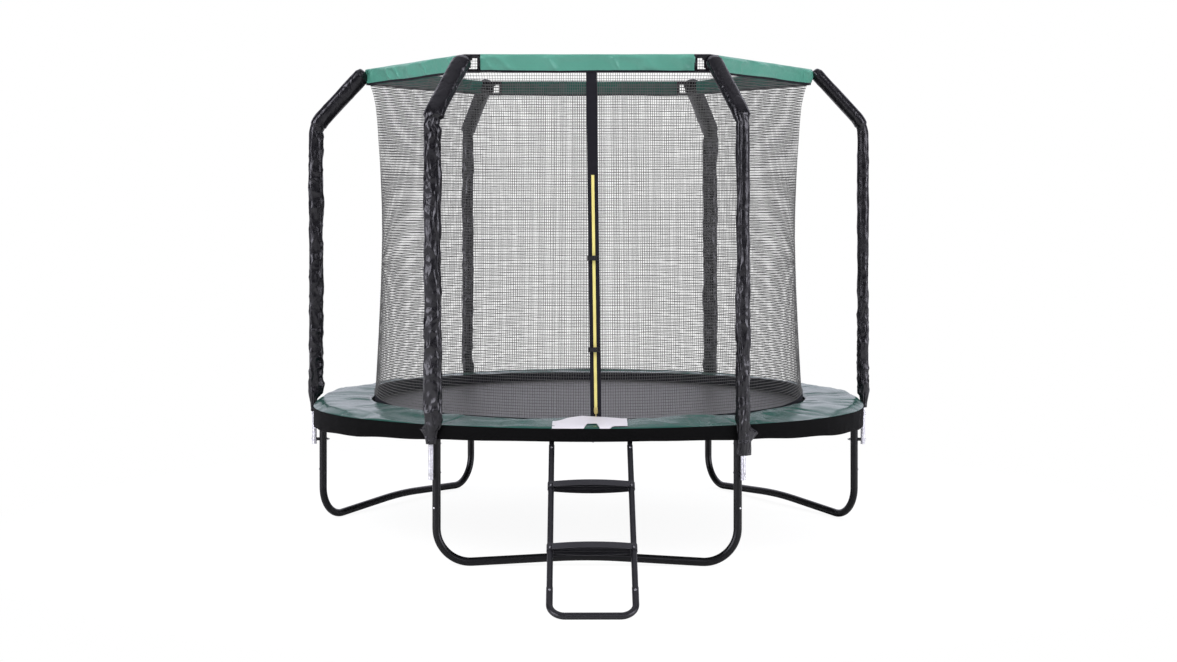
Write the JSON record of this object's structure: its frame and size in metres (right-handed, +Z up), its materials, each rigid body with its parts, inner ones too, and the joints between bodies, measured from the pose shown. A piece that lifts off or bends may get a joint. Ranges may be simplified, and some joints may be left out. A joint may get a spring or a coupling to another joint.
{
  "type": "garden trampoline",
  "caption": "Round garden trampoline with a padded ring, straight padded poles bent in at the top, a hexagonal zipped safety net and a hook-on two-step ladder.",
  "frame": {"origin": "point on the ground under the centre of the ring", "axes": "+Z up; the door and the ladder face -Y; +X is to the right for someone who faces the door"},
  "size_m": [3.1819, 4.047, 2.5678],
  "materials": {
    "black_steel": "black powder coat",
    "zinc_hardware": "zinc plated",
    "spring_steel": "galvanised wire",
    "mat_fabric": "tight woven mat",
    "webbing": "woven webbing",
    "pad_vinyl": "coated cushion cover, satin sheen",
    "skirt_fabric": "woven skirt",
    "patch_vinyl": "white coated panel",
    "galvanised_tube": "galvanised tube",
    "moulded_plastic": "moulded, matte",
    "foam": "closed-cell foam",
    "sleeve_vinyl": "gathered coated cloth, semi-gloss",
    "band_fabric": "coated cloth",
    "net_mesh": "fine knotted mesh",
    "zip_yellow": "coil zip",
    "zip_metal": "lacquered metal",
    "ladder_steel": "black powder coat",
    "tread_plastic": "black pressed steel"
  },
  "bodies": {
    "frame": {"rail_1": "black_steel", "rail_2": "black_steel", "rail_3": "black_steel", "rail_4": "black_steel", "rail_5": "black_steel", "rail_6": "black_steel", "leg_post_1": "black_steel", "leg_post_2": "black_steel", "leg_post_3": "black_steel", "leg_post_4": "black_steel", "leg_post_5": "black_steel", "leg_post_6": "black_steel", "leg_base_front": "black_steel", "leg_base_right": "black_steel", "leg_base_left": "black_steel", "frame_screws": "zinc_hardware", "spring_set_1": "spring_steel", "spring_set_2": "spring_steel", "spring_set_3": "spring_steel", "safety_pad": "pad_vinyl", "pad_skirt": "skirt_fabric", "pad_patch": "patch_vinyl", "pole_lower_tubes": "galvanised_tube", "pole_upper_1": "galvanised_tube", "pole_upper_2": "galvanised_tube", "pole_upper_3": "galvanised_tube", "pole_upper_4": "galvanised_tube", "pole_upper_5": "galvanised_tube", "pole_upper_6": "galvanised_tube", "pole_caps": "moulded_plastic", "foam_tubes": "foam", "pole_sleeve_1": "sleeve_vinyl", "pole_sleeve_2": "sleeve_vinyl", "pole_sleeve_3": "sleeve_vinyl", "pole_sleeve_4": "sleeve_vinyl", "pole_sleeve_5": "sleeve_vinyl", "pole_sleeve_6": "sleeve_vinyl", "pole_spacers": "moulded_plastic", "pole_bolts": "zinc_hardware", "pole_nuts": "zinc_hardware", "top_band": "band_fabric", "corner_pockets": "sleeve_vinyl", "net": "net_mesh", "door_strap": "webbing", "zip_tape": "zip_yellow", "buckle_sockets": "moulded_plastic"},
    "mat": {"jumping_mat": "mat_fabric", "mat_webbing": "webbing", "v_rings": "spring_steel", "net_foot_band": "webbing"},
    "ladder": {"ladder_rails": "ladder_steel", "ladder_foot_loop": "ladder_steel", "tread_upper": "tread_plastic", "tread_lower": "tread_plastic", "ladder_hooks": "ladder_steel", "ladder_bolts": "zinc_hardware"},
    "zip_slider_body": {"zip_slider": "zip_metal"},
    "zip_pull_body": {"zip_pull": "zip_metal"},
    "buckle_upper": {"buckle_plug_upper": "moulded_plastic"},
    "buckle_lower": {"buckle_plug_lower": "moulded_plastic"}
  },
  "joints": [
    {"name": "mat_bounce", "type": "slide", "parent": "frame", "child": "mat", "axis": [0, 0, 1], "range_m": [-0.25, 0], "stiffness_N_per_m": 5000, "springref_m": 0.08, "deforming": ["spring_set_1", "spring_set_2", "spring_set_3"]},
    {"name": "ladder_swing", "type": "hinge", "parent": "frame", "child": "ladder", "pos_m": [0.01927, -1.4917, 0.667], "axis": [-0.9999, -0.0129, 0], "range_deg": [0, 14]},
    {"name": "zip_slide", "type": "slide", "parent": "frame", "child": "zip_slider_body", "axis": [-0.0133, 0.0701, 0.9974], "range_m": [0, 1.172]},
    {"name": "zip_pull_swing", "type": "hinge", "parent": "zip_slider_body", "child": "zip_pull_body", "pos_m": [0.0437, -1.21563, 0.76777], "axis": [-0.9999, 0, -0.0134], "range_deg": [0, 150]},
    {"name": "buckle_upper_slide", "type": "slide", "parent": "frame", "child": "buckle_upper", "axis": [0.9999, 0, 0.0134], "range_m": [0, 0.035]},
    {"name": "buckle_lower_slide", "type": "slide", "parent": "frame", "child": "buckle_lower", "axis": [0.9999, 0, 0.0134], "range_m": [0, 0.035]}
  ]
}
